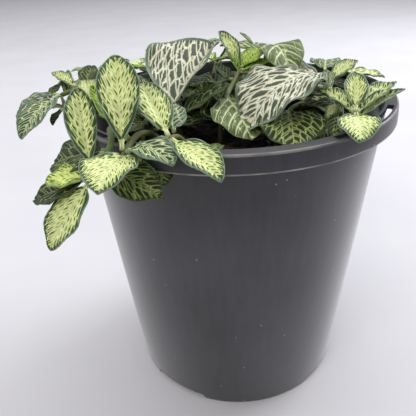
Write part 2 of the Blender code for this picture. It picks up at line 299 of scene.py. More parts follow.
def footCutters(angle):
    height = pot["notchHeight"] + pot["notchBelow"]
    middle = pot["footRadius"] - 0.6
    place = (middle * cos(angle) * mm, middle * sin(angle) * mm, (pot["notchHeight"] - height / 2) * mm)
    bpy.ops.mesh.primitive_cube_add(size=1, location=place, rotation=(0, 0, angle))
    notch = bpy.context.object
    for vert in notch.data.vertices:
        half = pot["notchWidth"] - (2 * pot["notchSlope"] if vert.co.z > 0 else 0)
        vert.co = (vert.co.x * pot["notchDepth"] * mm, vert.co.y * half * mm, vert.co.z * height * mm)
    reach = (pot["padRadius"] + pot["footRadius"]) / 2
    place = (reach * cos(angle) * mm, reach * sin(angle) * mm, (pot["footRise"] + pot["floor"] / 2) * mm)
    bpy.ops.mesh.primitive_cylinder_add(
        vertices=40, radius=pot["drainRadius"] * mm, depth=4 * pot["floor"] * mm, location=place)
    return [notch, bpy.context.object]


def makePot():
    shell = potShell()
    cutters = []
    for index in range(pot["notches"]):
        cutters += footCutters(radians(pot["firstNotch"] + index * 360 / pot["notches"]))
    ribHalf = pot["rib"] / 2 / pot["rimRadius"] * 180 / pi
    half = pot["windowArc"] / 2
    for index in range(pot["windows"]):
        middle = pot["firstWindow"] + index * 360 / pot["windows"]
        cutters.append(windowCutter(middle, -half, -ribHalf))
        cutters.append(windowCutter(middle, ribHalf, half))
    for cutter in cutters:
        applyModifier(shell, "BOOLEAN", operation="DIFFERENCE", object=cutter)
        bpy.data.objects.remove(cutter)
    selectOnly(shell)
    bpy.ops.object.shade_smooth_by_angle(angle=radians(32))
    shell.data.materials.append(potPlastic())
    finishPiece(shell, ["pot"])


# Nursery-pot polypropylene, injection moulded: charcoal, satin, with drag marks, pale specks, a pale line
# along the band's lower edge and a painted highlight along the rim's outer top edge.
plastic = {
    "black": "#1c1c20",
    "worn": "#36363c",
    # colour of the pale line along the band's lower edge and of the painted highlight on the rim's outer top
    # edge
    "paleLine": "#9d998f",
    "speck": "#a9a8ad",
    "roughness": 0.32,
    "film": 0.6,  # dusty film that pales the pot at glancing angles
    "streakWidth": 2.5,  # mm
    "bandLine": 0.42,  # mm, half the width of the pale line along the band's lower edge
    "speckSize": 3.6,  # mm between specks
}


def potPlastic():
    material, tree, shader = newMaterial("black polypropylene")
    place = addNode(tree, "TexCoord", {}, {}, 3)
    spread = addNode(tree, "SeparateXYZ", {}, {0: place})
    height = spread.node.outputs[2]
    long = addNode(tree, "Mapping", {}, {"Vector": place, "Scale": (1, 1, 0.12)})
    streakScale = 1 / plastic["streakWidth"] / mm
    streak = addNode(tree, "TexNoise", {}, {"Vector": long, "Scale": streakScale, "Detail": 4.0})
    cloud = addNode(tree, "TexNoise", {}, {"Vector": place, "Scale": 22.0, "Detail": 5.0})
    both = addNode(tree, "Mix", {}, {0: 0.3, 2: cloud, 3: streak})
    base = addNode(tree, "ValToRGB", {}, {0: both})
    setStops(base, [(0.36, hexColour(plastic["black"])), (0.64, hexColour(plastic["worn"]))])
    cells = addNode(tree, "TexVoronoi", {}, {"Vector": place, "Scale": 1 / plastic["speckSize"] / mm})
    chance = addNode(tree, "SeparateColor", {}, {0: cells.node.outputs[1]})
    rare = addNode(tree, "Math", {"operation": "GREATER_THAN"}, {0: chance, 1: 0.9})
    small = addNode(tree, "Math", {"operation": "LESS_THAN"}, {0: cells, 1: 0.1})
    speck = addNode(tree, "Math", {"operation": "MULTIPLY"}, {0: rare, 1: small})
    speckShare = addNode(tree, "Math", {"operation": "MULTIPLY"}, {0: speck, 1: 0.55})
    withSpecks = addNode(tree, "Mix", {"data_type": "RGBA"},
                         {0: speckShare, 6: base, 7: hexColour(plastic["speck"])}, 2)
    # a patchy pale line along the band's lower edge
    bandEdge = pot["height"] - pot["bandHeight"] + 0.25
    toEdge = addNode(tree, "Math", {"operation": "COMPARE"},
                     {0: height, 1: bandEdge * mm, 2: plastic["bandLine"] * mm})
    patchy = addNode(tree, "TexNoise", {}, {"Vector": place, "Scale": 90.0, "Detail": 2.0})
    linePatches = addNode(tree, "MapRange", {}, {0: patchy, 1: 0.35, 2: 0.6, 3: 0.25, 4: 0.85})
    overhead = addNode(tree, "CombineXYZ", {}, {0: spread, 1: spread.node.outputs[1]})
    radius = addNode(tree, "VectorMath", {"operation": "LENGTH"}, {0: overhead}, 1)
    # painted highlight: a pale line along the rim's outer top edge
    rimEdge = (pot["rimRadius"] - 0.6) * mm
    outside = addNode(tree, "Math", {"operation": "GREATER_THAN"}, {0: radius, 1: rimEdge})
    upper = addNode(tree, "Math", {"operation": "GREATER_THAN"}, {0: height, 1: (pot["height"] - 0.8) * mm})
    shoulder = addNode(tree, "Math", {"operation": "MULTIPLY"}, {0: outside, 1: upper})
    shoulderShare = addNode(tree, "Math", {"operation": "MULTIPLY"}, {0: shoulder, 1: 0.6})
    lines = addNode(tree, "Math", {"operation": "MAXIMUM"}, {0: toEdge, 1: shoulderShare})
    lineShare = addNode(tree, "Math", {"operation": "MULTIPLY"}, {0: lines, 1: linePatches})
    colour = addNode(tree, "Mix", {"data_type": "RGBA"},
                     {0: lineShare, 6: withSpecks, 7: hexColour(plastic["paleLine"])}, 2)
    tree.links.new(colour, shader.inputs["Base Color"])
    rough = addNode(tree, "MapRange", {}, {0: both, 1: 0.35, 2: 0.65, 3: plastic["roughness"], 4: 0.45})
    tree.links.new(rough, shader.inputs["Roughness"])
    grain = addNode(tree, "TexNoise", {}, {"Vector": place, "Scale": 1600.0, "Detail": 2.0})
    bump = addNode(tree, "Bump", {}, {"Strength": 0.12, "Distance": 0.0002, "Height": grain})
    tree.links.new(bump, shader.inputs["Normal"])
    shader.inputs["IOR"].default_value = 1.49
    film = addNode(tree, "MapRange", {},
                   {0: height, 1: (bandEdge - 2) * mm, 2: bandEdge * mm, 3: plastic["film"], 4: 0.0})
    tree.links.new(film, shader.inputs["Sheen Weight"])
    shader.inputs["Sheen Roughness"].default_value = 0.4
    return material


makePot()
print("pot")

# Soil

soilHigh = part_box("soil")[1]
soil = {
    "seed": 4,
    "crumbs": 520,
    "crumbSize": (1.0, 3.4),  # mm
    "barkSize": (4.0, 9.0),
    "bark": 46,
    "perlite": 60,
    "roll": 0.9,  # mm, how uneven the surface is
    "waves": 24,  # added up to make the surface uneven
    "gap": 0.3,  # to the pot
}


def makeSoil():
    top = soilHigh[2] / mm
    radius = soilHigh[0] / mm
    bpy.ops.mesh.primitive_circle_add(
        vertices=96, radius=radius * mm, fill_type="NOTHING", location=(0, 0, 0))
    bed = bpy.context.object
    bed.name = "potting_mix"
    rings = [(wallRadius(h) - pot["wall"] - soil["gap"], h) for h in (5.6, 60.0, top - 1.5)]
    rings += [(radius * share, top) for share in np.linspace(0.985, 0.03, 36)]
    bpy.ops.object.mode_set(mode="EDIT")
    bpy.ops.mesh.select_mode(type="EDGE")
    bpy.ops.mesh.select_all(action="SELECT")
    bpy.ops.transform.resize(value=(rings[0][0] / radius,) * 2 + (1,), center_override=(0, 0, 0))
    bpy.ops.transform.translate(value=(0, 0, rings[0][1] * mm))
    bpy.ops.mesh.edge_face_add()
    extrudeRings(rings)
    bpy.ops.mesh.edge_face_add()
    bpy.ops.mesh.select_all(action="SELECT")
    bpy.ops.mesh.normals_make_consistent(inside=False)
    bpy.ops.object.mode_set(mode="OBJECT")
    rng = np.random.default_rng(soil["seed"])
    count = soil["waves"]
    waves = rng.uniform(0.12, 0.9, (count, 2)) * rng.choice([-1, 1], (count, 2))
    shifts = rng.uniform(0, 2 * pi, count)
    for vert in bed.data.vertices:
        if vert.co.z > (top - 0.1) * mm:
            x, y = vert.co.x / mm, vert.co.y / mm
            roll = np.sin(waves[:, 0] * x + waves[:, 1] * y + shifts).sum() / count ** 0.5
            vert.co.z += min(roll, 1.2) * soil["roll"] * mm - 0.6 * mm
    scatterBits(bed, rng, radius, top)
    selectOnly(bed)
    bpy.ops.object.shade_flat()
    finishPiece(bed, ["soil"])


def bitShape(kind):
    if kind == "bark":
        bpy.ops.mesh.primitive_cube_add(size=1)
        bit = bpy.context.object
        bit.scale = (1.0, 0.45, 0.22)
    else:
        bpy.ops.mesh.primitive_ico_sphere_add(subdivisions=1, radius=0.5)
        bit = bpy.context.object
        bit.scale = (1.0, 0.85, 0.7)
    bpy.ops.object.transform_apply(location=False, rotation=False, scale=True)
    bpy.ops.object.mode_set(mode="EDIT")
    bpy.ops.mesh.select_all(action="SELECT")
    if kind == "bark":
        bpy.ops.mesh.subdivide(number_cuts=1)
    bpy.ops.transform.vertex_random(offset=0.09, seed=soil["seed"])
    bpy.ops.object.mode_set(mode="OBJECT")
    return bit


def scatterBits(bed, rng, radius, top):
    amounts = {
        "crumb": (soil["crumbs"], soil["crumbSize"], 1),
        "bark": (soil["bark"], soil["barkSize"], 2),
        "perlite": (soil["perlite"], soil["crumbSize"], 3),
    }
    for material in soilMaterials():
        bed.data.materials.append(material)
    made = [bed]
    for kind, (count, sizes, slotIndex) in amounts.items():
        first = bitShape(kind)
        for material in bed.data.materials:
            first.data.materials.append(material)
        first.data.polygons.foreach_set("material_index", [slotIndex] * len(first.data.polygons))
        for _ in range(count):
            bit = first.copy()
            bit.data = first.data.copy()
            bpy.context.collection.objects.link(bit)
            reach = (radius - 4.0) * rng.uniform(0, 1) ** 0.5
            angle = rng.uniform(0, 2 * pi)
            bit.location = (reach * cos(angle) * mm, reach * sin(angle) * mm, (top - 0.1) * mm)
            bit.rotation_euler = rng.uniform(-0.5, 0.5, 2).tolist() + [rng.uniform(0, 2 * pi)]
            bit.scale = [rng.uniform(*sizes) * mm] * 3
            made.append(bit)
        bpy.data.objects.remove(first)
    deselect()
    for obj in made:
        obj.select_set(True)
    bpy.context.view_layer.objects.active = bed
    bpy.ops.object.join()


# Peat potting mix: dark, damp fibre with bark chips and white expanded perlite.
def soilMaterials():
    finishes = {
        "damp peat": ("#15100c", "#2c211a", 0.95),
        "peat crumb": ("#1b1410", "#3a2b21", 0.95),
        "pine bark": ("#2e1d13", "#5b3f2a", 0.85),
        "perlite": ("#b9b4a8", "#dcd8cd", 0.9),
    }
    made = []
    for name, (dark, light, rough) in finishes.items():
        material, tree, shader = newMaterial(name)
        place = addNode(tree, "TexCoord", {}, {}, 3)
        grain = addNode(tree, "TexNoise", {}, {"Vector": place, "Scale": 700.0, "Detail": 4.0})
        colour = addNode(tree, "ValToRGB", {}, {0: grain})
        setStops(colour, [(0.35, hexColour(dark)), (0.68, hexColour(light))])
        tree.links.new(colour, shader.inputs["Base Color"])
        bump = addNode(tree, "Bump", {}, {"Strength": 0.5, "Distance": 0.0005, "Height": grain})
        tree.links.new(bump, shader.inputs["Normal"])
        shader.inputs["Roughness"].default_value = rough
        made.append(material)
    return made


makeSoil()
print("soil")

# Stems

stem = {
    "skin": "#55642f",
    "blush": "#6b6439",
    "bark": "#1f1d12",
    "twigRadius": 0.6,
    "woody": 22.0,  # mm of dark old stem over the soil
    "roughness": 0.6,
    "hairSpacing": 0.35,  # mm, the down on a young shoot
}


# Living stem skin: juicy pale green, a little rosy at the joints, dull with fine down.
def stemSkin():
    material, tree, shader = newMaterial("downy green stem")
    place = addNode(tree, "TexCoord", {}, {}, 3)
    patches = addNode(tree, "TexNoise", {}, {"Vector": place, "Scale": 130.0, "Detail": 3.0})
    colour = addNode(tree, "ValToRGB", {}, {0: patches})
    setStops(colour, [(0.4, hexColour(stem["skin"])), (0.72, hexColour(stem["blush"]))])
    height = addNode(tree, "SeparateXYZ", {}, {0: place}).node.outputs[2]
    barkTop = soilHigh[2] + stem["woody"] * mm
    old = addNode(tree, "MapRange", {}, {0: height, 1: soilHigh[2], 2: barkTop, 3: 1.0, 4: 0.0})
    aged = addNode(tree, "Mix", {"data_type": "RGBA"}, {0: old, 6: colour, 7: hexColour(stem["bark"])}, 2)
    tree.links.new(aged, shader.inputs["Base Color"])
    downScale = 1 / stem["hairSpacing"] / mm
    down = addNode(tree, "TexNoise", {}, {"Vector": place, "Scale": downScale, "Detail": 1.0})
    bump = addNode(tree, "Bump", {}, {"Strength": 0.4, "Distance": 0.0002, "Height": down})
    tree.links.new(bump, shader.inputs["Normal"])
    shader.inputs["Roughness"].default_value = stem["roughness"]
    shader.inputs["Subsurface Weight"].default_value = 0.1
    shader.inputs["Subsurface Scale"].default_value = 0.001
    return material


def makeStems(skin):
    for name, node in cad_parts.items():
        if not name.startswith("stem_"):
            continue
        piece = node.copy()
        piece.data = node.data.copy()
        piece.name = name.replace("stem_", "shoot_stem_")
        bpy.context.collection.objects.link(piece)
        piece.data.materials.clear()
        piece.data.materials.append(skin)
        selectOnly(piece)
        bpy.ops.object.mode_set(mode="EDIT")
        bpy.ops.mesh.select_all(action="SELECT")
        bpy.ops.mesh.remove_doubles(threshold=0.00002)
        bpy.ops.mesh.tris_convert_to_quads()
        bpy.ops.mesh.normals_make_consistent(inside=False)
        bpy.ops.object.mode_set(mode="OBJECT")
        applyModifier(piece, "SUBSURF", levels=2, render_levels=2)
        piece.data.shade_smooth()
        finishPiece(piece, [name])


stemCover = stemSkin()
makeStems(stemCover)
print("stems")

# Leaf materials

# Nerve-plant leaf: a soft thin blade with a waxy skin, sunk cream veins and dull green between them.
# Colours run from the vein outwards, then the margin and its pale edge, which is a painted highlight; widths
# and spacings are in mm.
# "laterals" are side veins on each half, "cells" are columns of the net between two of them.
leafLooks = {
    "striped": {
        "vein": "#dde0ae", "halo": "#bccb70", "green": "#7c9a38", "dark": "#3a561c",
        "margin": "#2f4a2c", "rim": "#8b9d88", "plain": 0.36,
        "midrib": 1.0, "lateral": 0.5, "laterals": 7, "slope": 1.2,
        "cells": 2.0, "cellLength": 1.6, "random": 0.7, "inner": 0.33, "outer": 0.12, "band": 0.95,
        "roughness": 0.48,
    },
    "limeStriped": {
        "vein": "#dbe093", "halo": "#b4cc48", "green": "#6c9120", "dark": "#35560f",
        "margin": "#47692a", "rim": "#9aae76", "plain": 0.36,
        "midrib": 0.9, "lateral": 0.5, "laterals": 6, "slope": 1.2,
        "cells": 2.0, "cellLength": 1.6, "random": 0.7, "inner": 0.32, "outer": 0.12, "band": 0.6,
        "roughness": 0.48,
    },
    "veined": {
        "vein": "#c9d0a2", "halo": "#98a873", "green": "#526c40", "dark": "#2d4128",
        "margin": "#4b6652", "rim": "#82957f",
        "midrib": 0.8, "lateral": 0.5, "laterals": 6, "slope": 1.0,
        "cells": 2.0, "cellLength": 3.0, "random": 0.6, "inner": 0.13, "outer": 0.10, "band": 0.9,
        "roughness": 0.5,
    },
    "bold": {
        "vein": "#dbd8c2", "halo": "#b6b79b", "green": "#7c856b", "dark": "#424c3a",
        "margin": "#64765f", "rim": "#97a38f",
        "midrib": 1.5, "lateral": 1.0, "laterals": 6, "slope": 1.5,
        "cells": 1.0, "cellLength": 3.7, "random": 0.8, "inner": 0.15, "outer": 0.11, "band": 1.3,
        "roughness": 0.5,
    },
    # a darker copy of "bold" for leaves in shade inside the pot's mouth: painted shade
    "shadedBold": {
        "vein": "#a8ae6b", "halo": "#727f46", "green": "#3a4d23", "dark": "#203013",
        "margin": "#2a3b1b", "rim": "#4a5b36",
        "midrib": 1.0, "lateral": 0.7, "laterals": 6, "slope": 1.1,
        "cells": 1.0, "cellLength": 2.9, "random": 0.7, "inner": 0.15, "outer": 0.10, "band": 0.9,
        "roughness": 0.6,
    },
    "pale": {
        "vein": "#cfd3aa", "halo": "#a3ad76", "green": "#63733f", "dark": "#4f602f",
        "margin": "#56693a", "rim": "#85966a",
        "midrib": 1.7, "lateral": 1.25, "laterals": 4, "slope": 0.95,
        "cells": 1.0, "cellLength": 5.0, "random": 0.6, "inner": 0.04, "outer": 0.03, "band": 1.0,
        "roughness": 0.42,
    },
    # the leaf's own dark green, darkened further as painted shade for leaves inside the pot's mouth
    "dark": {
        "vein": "#9ca360", "halo": "#586832", "green": "#31441c", "dark": "#1b2b10",
        "margin": "#273817", "rim": "#485833",
        "midrib": 0.6, "lateral": 0.34, "laterals": 5, "slope": 0.9,
        "cells": 1.0, "cellLength": 3.2, "random": 0.6, "inner": 0.07, "outer": 0.05, "band": 0.8,
        "roughness": 0.55,
    },
    "olive": {
        "vein": "#838d3e", "halo": "#68762f", "green": "#4d5d20", "dark": "#354514",
        "margin": "#41501b", "rim": "#6d7a3e",
        "midrib": 0.7, "lateral": 0.4, "laterals": 5, "slope": 0.9,
        "cells": 1.0, "cellLength": 4.0, "random": 0.7, "inner": 0.12, "outer": 0.08, "band": 0.6,
        "roughness": 0.5,
    },
    "lime": {
        "vein": "#b4c94d", "halo": "#93b132", "green": "#668a1c", "dark": "#34540c",
        "margin": "#527621", "rim": "#9ab354",
        "midrib": 0.7, "lateral": 0.4, "laterals": 7, "slope": 1.1,
        "cells": 2.0, "cellLength": 2.2, "random": 0.7, "inner": 0.30, "outer": 0.16, "band": 0.5,
        "roughness": 0.45,
    },
    "under": {
        "vein": "#a9b586", "halo": "#93a372", "green": "#7b8d5e", "dark": "#697f4f",
        "margin": "#6e8358", "rim": "#8d9c76",
        "midrib": 0.9, "lateral": 0.5, "laterals": 7, "slope": 1.0,
        "cells": 2.0, "cellLength": 3.0, "random": 0.7, "inner": 0.2, "outer": 0.2, "band": 0.4,
        "roughness": 0.6,
    },
}


def leafMaterial(name, look):
    material, tree, shader = newMaterial(name)
    flat = addNode(tree, "Attribute", {"attribute_name": "flat"}, {}, 1)
    fromBlade = addNode(tree, "Attribute", {"attribute_name": "blade"}, {}, 1)
    phase, across, toMargin = addNode(tree, "SeparateXYZ", {}, {0: fromBlade}).node.outputs
    ribs = addNode(tree, "Attribute", {"attribute_name": "rib"}, {}, 1)
    fromRib, share = addNode(tree, "SeparateXYZ", {}, {0: ribs}).node.outputs[:2]
    wobble = addNode(tree, "TexNoise", {}, {"Vector": flat, "Scale": 0.4, "Detail": 2.0}, 1)
    shake = addNode(tree, "VectorMath", {"operation": "MULTIPLY_ADD"},
                    {0: wobble, 1: (0.6, 0.8, 0), 2: (-0.3, -0.4, 0)})
    # cells between the side veins
    column = addNode(tree, "Math", {"operation": "MULTIPLY_ADD"}, {0: phase, 1: look["cells"], 2: 0.5})
    row = addNode(tree, "Math", {"operation": "DIVIDE"}, {0: across, 1: look["cellLength"]})
    spot = addNode(tree, "CombineXYZ", {}, {0: column, 1: row})
    spotShaken = addNode(tree, "VectorMath", {"operation": "ADD"}, {0: spot, 1: shake})
    cell = addNode(tree, "TexVoronoi", {"voronoi_dimensions": "2D", "feature": "DISTANCE_TO_EDGE"},
                   {"Vector": spotShaken, "Scale": 1.0, "Randomness": look["random"]})
    shakeX = addNode(tree, "SeparateXYZ", {}, {0: shake})
    wavy = addNode(tree, "Math", {"operation": "MULTIPLY_ADD"}, {0: shakeX, 1: 0.35, 2: phase})
    fromLateral = addNode(tree, "Math", {"operation": "PINGPONG"}, {0: wavy, 1: 0.5})
    thin = addNode(tree, "MapRange", {},
                   {0: share, 1: 0.0, 2: 1.0, 3: look["lateral"], 4: look["lateral"] * 0.35})
    spacing = addNode(tree, "Attribute", {"attribute_name": "spacing"}, {}, 2)
    lateralDistance = addNode(tree, "Math", {"operation": "MULTIPLY"}, {0: fromLateral, 1: spacing})
    lateral = addNode(tree, "Math", {"operation": "DIVIDE"}, {0: lateralDistance, 1: thin})
    netStart = look["band"]
    netWidth = addNode(tree, "MapRange", {"interpolation_type": "SMOOTHSTEP"},
                       {0: toMargin, 1: netStart, 2: netStart + 3.0, 3: look["outer"], 4: look["inner"]})
    cellShare = addNode(tree, "Math", {"operation": "DIVIDE"}, {0: cell, 1: netWidth})
    veins = addNode(tree, "Math", {"operation": "SMOOTH_MIN"}, {0: lateral, 1: cellShare, 2: 0.3})
    depth = addNode(tree, "Math", {"operation": "SMOOTH_MIN"}, {0: veins, 1: fromRib, 2: 0.3})
    half = addNode(tree, "Math", {"operation": "MULTIPLY", "use_clamp": True}, {0: depth, 1: 0.5})
    colour = addNode(tree, "ValToRGB", {}, {0: half})
    plain = look.get("plain", 0.3)
    stops = [(plain * 0.3, "vein"), (plain * 0.7, "halo"), (plain, "halo"), (0.46, "green"), (0.58, "dark")]
    setStops(colour, [(position, hexColour(look[key])) for position, key in stops])
    # the margin: a dark band whose inner side is jagged, with a thin pale edge painted as a highlight
    fingers = addNode(tree, "MapRange", {}, {0: lateral, 1: 0.0, 2: 3.0, 3: 0.7, 4: -0.1})
    jag = addNode(tree, "Math", {"operation": "MULTIPLY_ADD"}, {0: shakeX, 1: 1.6, 2: toMargin})
    inward = addNode(tree, "Math", {"operation": "ADD"}, {0: jag, 1: fingers})
    band = addNode(tree, "MapRange", {"interpolation_type": "SMOOTHSTEP"},
                   {0: inward, 1: look["band"] - 0.2, 2: look["band"] + 0.3, 3: 1.0, 4: 0.0})
    bandColour = addNode(tree, "Mix", {"data_type": "RGBA"},
                         {0: band, 6: colour, 7: hexColour(look["margin"])}, 2)
    # painted highlight: the look's "rim" colour along the leaf's outer edge
    edgeHighlight = addNode(tree, "MapRange", {"interpolation_type": "SMOOTHSTEP"},
                   {0: toMargin, 1: 0.05, 2: 0.45, 3: 0.8, 4: 0.0})
    withEdgeHighlight = addNode(tree, "Mix", {"data_type": "RGBA"},
                    {0: edgeHighlight, 6: bandColour, 7: hexColour(look["rim"])}, 2)
    mottle = addNode(tree, "TexNoise", {}, {"Vector": flat, "Scale": 0.16, "Detail": 4.0})
    value = addNode(tree, "MapRange", {}, {0: mottle, 1: 0.3, 2: 0.7, 3: 0.86, 4: 1.12})
    varied = addNode(tree, "HueSaturation", {}, {"Value": value, "Color": withEdgeHighlight})
    tree.links.new(varied, shader.inputs["Base Color"])
    bump = addNode(tree, "Bump", {}, {"Strength": 0.45, "Distance": 0.0003, "Height": half})
    tree.links.new(bump, shader.inputs["Normal"])
    shader.inputs["Roughness"].default_value = look["roughness"]
    shader.inputs["IOR"].default_value = 1.42
    shader.inputs["Specular IOR Level"].default_value = 0.35
    shader.inputs["Subsurface Weight"].default_value = 0.12
    shader.inputs["Subsurface Radius"].default_value = (0.6, 1.0, 0.2)
    shader.inputs["Subsurface Scale"].default_value = 0.0008
    return material


leafSkins = {name: leafMaterial("nerve leaf " + name, look) for name, look in leafLooks.items()}
print("leaf materials")

# Leaves

blade = {
    "seed": 11,
    "cellSize": 0.55,  # mm between points of the sheet
    "thickness": 0.42,
    "stalkShare": 0.04,
    "cadStalkShare": 0.11,
    "fuller": 1.1,  # a blade is this much wider than its plain solid
    "stalkWidth": 1.5,
    "stalkRoot": 1.3,  # how far the stalk reaches back into its stem
    "ribDepth": 0.35,
    "veinDepth": 0.22,
    "pucker": 0.3,
    "wave": 0.5,
    "ribSpread": 0.8,  # mm from the midrib to where its groove has faded
    "veinSpread": 0.45,
    "veinBend": 0.45,  # how much a side vein curves forwards
    "halfShift": 0.35,  # the two halves' side veins start this far apart, as a share of their spacing
    "waveTurns": (2.2, 3.4),
    "waveWidth": 14,  # mm, the width of a leaf that has the full wave
    "stalkCurl": 150,
    "slots": {  # the slot name of each of these looks
        "striped": "striped_leaf",
        "lime": "lime_leaf",
        "limeStriped": "lime_leaf",
    },
}

narrow = {"belly": 0.75, "point": 1.0, "sideFold": (34, 34)}  # the pointed leaves of a young shoot

# node: (heading, pitch, roll, length, width, droop, fold) of its solid in degrees and mm, look, own shape
# "aim" gives those seven again where the blade is turned, widened or bent away from its solid
leaves = {
    "trailing_hanging": ((-140, -38, -10, 24, 13.5, 15, 12), "striped", {}),
    "trailing_upright": ((102, 50, 6, 29, 12, 10, 14), "striped", {"belly": 1.2, "sideWidth": (0.95, 0.65)}),
    "trailing_lime": ((146, 14, 0, 12, 8.5, 10, 20), "limeStriped", {
        "aim": (178, 2, -14, 14, 10.5, 16, 10)}),
    "trailing_dark_right": ((-33, -7, 25, 22, 13, 25, 6), "shadedBold", {"point": 0.95, "belly": 1.0}),
    "trailing_dark_left": ((142, 6, 0, 25, 12, 20, 8), "dark", {"aim": (160, -8, -30, 24, 17, 24, 6)}),
    "trailing_side": ((-176, -6, 0, 17, 10, 10, 10), "dark", {"aim": (170, -16, -20, 22, 12, 14, 8)}),
    "front_left_upright": ((93, 55, 8, 31, 12.5, 6, 16), "striped", {
        "belly": 1.3, "sideWidth": (1.05, 1.05)}),
    "front_left_heart": ((-101, 12, 0, 20, 16.5, 35, 14), "striped", {"lobe": 4.5, "belly": 0.8}),
    "front_left_curled": ((-38, 22, 0, 18, 11, 50, 16), "veined", {
        "laterals": 4, "aim": (-36, 34, 0, 19, 13, 75, 10)}),
    "front_left_lime": ((133, 42, 0, 22, 9, 5, 25), "lime", {}),
    "front_left": ((114, 30, 0, 27, 12, 8, 16), "striped", {}),
    "front_right": ((94, 14, 20, 22, 10, 8, 10), "veined", {}),
    "front_over_rim": ((-52, -3, 0, 24, 12, 22, 16), "striped", {}),
    "left_arching": ((-113, 2, 0, 30, 13, 45, 8), "veined", {}),
    "left_edge_on": ((-163, 14, 0, 22, 9, 75, 10), "veined", {}),
    "left_upright": ((150, 30, 0, 13, 8, 10, 20), "striped", {}),
    "left_dark_upright": ((82, 30, 0, 14, 9, 10, 16), "dark", {}),
    "left_broad": ((45, 30, 0, 20, 11, 15, 14), "striped", {}),
    "centre_large": ((60, 29, 12, 46, 32, 12, 20), "bold", {
        "belly": 1.15, "sideWidth": (1.35, 0.8), "sideFold": (10, 55), "laterals": 5}),
    "centre_left": ((142, 30, 0, 29, 18, 15, 6), "veined", {}),
    "centre_right": ((12, 36, 0, 26, 14, 15, 10), "dark", {}),
    "middle_folded": ((121, 47, 0, 21, 10, 8, 35), "striped", {}),
    "middle_lime_tall": ((44, 26, 0, 16, 13, 10, 16), "lime", {}),
    "middle_lime_low": ((12, 10, 0, 22, 12, 15, 25), "lime", {}),
    "middle_shaded": ((-165, 6, 0, 24, 16, 15, 8), "dark", {}),
    "middle_pale": ((-90, -8, 0, 30, 22, 26, 6), "pale", {"aim": (-74, -4, 0, 29, 22, 30, 6)}),
    "right_middle_arching": ((-149, 16, 0, 38, 32, 62, 10), "bold", {
        "belly": 0.8, "sideWidth": (1.1, 1.05), "slope": 0.9, "aim": (-147, 14, 0, 42, 32, 76, 10)}),
    "right_middle_inside_rim": ((-97, 5, 0, 30, 24, 30, 8), "shadedBold", {}),
    "right_middle_green": ((-48, 14, 0, 19, 12, 40, 14), "dark", {}),
    "right_back_left": ((113, 13, 0, 21, 9.5, 8, 16), "striped", narrow),
    "right_back": ((76, 28, 0, 22, 9.5, 8, 20), "striped", narrow),
    "right_back_right": ((40, 18, 0, 25, 10.5, 8, 16), "striped", narrow),
    "right_outer": ((8, 14, 0, 24, 9, 12, 26), "striped", {**narrow, "aim": (26, 22, 0, 22, 9, 8, 26)}),
    "right_over_rim": ((-102, 8, 0, 18, 13, 35, 10), "striped", {}),
    "rear_right_tip": ((20, 34, 0, 14, 11, 8, 16), "striped", {}),
    "rear_right_veined": ((148, 14, -20, 29, 22, 15, 8), "bold", {}),
    "rear_right_rear": ((75, 8, 0, 25, 15, 20, 10), "veined", {}),
    "rear_right_side": ((-12, 8, 0, 22, 13, 20, 10), "striped", {}),
    "rear_middle_arching": ((-80, 36, 0, 38, 20, 90, 8), "pale", {}),
    "rear_middle_grey": ((165, 16, 0, 22, 14, 15, 12), "pale", {}),
    "rear_middle_rear": ((50, 5, 0, 30, 18, 40, 10), "veined", {}),
    "rear_left": ((130, 8, 0, 30, 17, 40, 10), "striped", {}),
    "rear_right": ((40, 8, 0, 30, 17, 40, 10), "veined", {}),
    "rear_left_inner": ((10, 16, 0, 27, 17, 15, 12), "veined", {}),
    "rear_left_rear": ((115, 8, 0, 28, 16, 40, 10), "striped", {}),
    "rear_left_outer": ((190, 10, 0, 26, 15, 35, 10), "striped", {}),
}


def halfWidth(s, width, belly=0.95, point=0.65):
    oval = width / 2 * np.sin(pi * np.clip(s, 0, 1) ** belly) ** point
    stalk = blade["stalkWidth"] / 2
    return np.where(s <= 0, stalk, np.maximum(oval, stalk * (1 - s) + 0.35))


def sideHalf(s, width, across, shape):
    left, right = shape.get("sideWidth", (1, 1))
    half = halfWidth(s, width, shape.get("belly", 0.95), shape.get("point", 0.65))
    return half * np.where(across > 0, left, right)


def leafPoints(along, across, sizes, shape, lift, stalk):
    _, _, _, length, width, droop, fold = sizes
    bend = radians(droop)
    turned = bend * np.clip(along, 0, None)
    x = length * np.where(along < 0, along, np.sin(turned) / bend)
    z = -length * (1 - np.cos(turned)) / bend
    s = (along - stalk) / (1 - stalk)
    half = sideHalf(s, width, across, shape)
    folds = shape.get("sideFold", (fold, fold))
    rise = np.radians(np.where(across > 0, folds[0], folds[1]))
    side = half * across * np.cos(rise)
    up = half * np.abs(across) * np.sin(rise) + lift
    back = shape.get("lobe", 0.0) * across ** 2 * np.exp(-(np.clip(s, 0, 1) / 0.16) ** 2) * (s > 0)
    x = x + up * np.sin(turned) - back * np.cos(turned)
    z = z + up * np.cos(turned) + back * np.sin(turned)
    return np.stack([x, side, z], -1)


def leafTurn(sizes):
    heading, pitch, roll = sizes[:3]
    return np.array(Euler((radians(roll), -radians(pitch), radians(heading)), "XYZ").to_matrix())


def nodeRoot(node, sizes):
    along, across = np.meshgrid(np.linspace(0, 1, 9), np.linspace(-1, 1, 5), indexing="ij")
    plain = leafPoints(along, across, sizes, {}, 0 * along, blade["cadStalkShare"])
    points = plain.reshape(-1, 3) @ leafTurn(sizes).T
    low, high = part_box(node)
    middle = (np.array(low) + np.array(high)) / 2 / mm
    return middle - (points.min(0) + points.max(0)) / 2


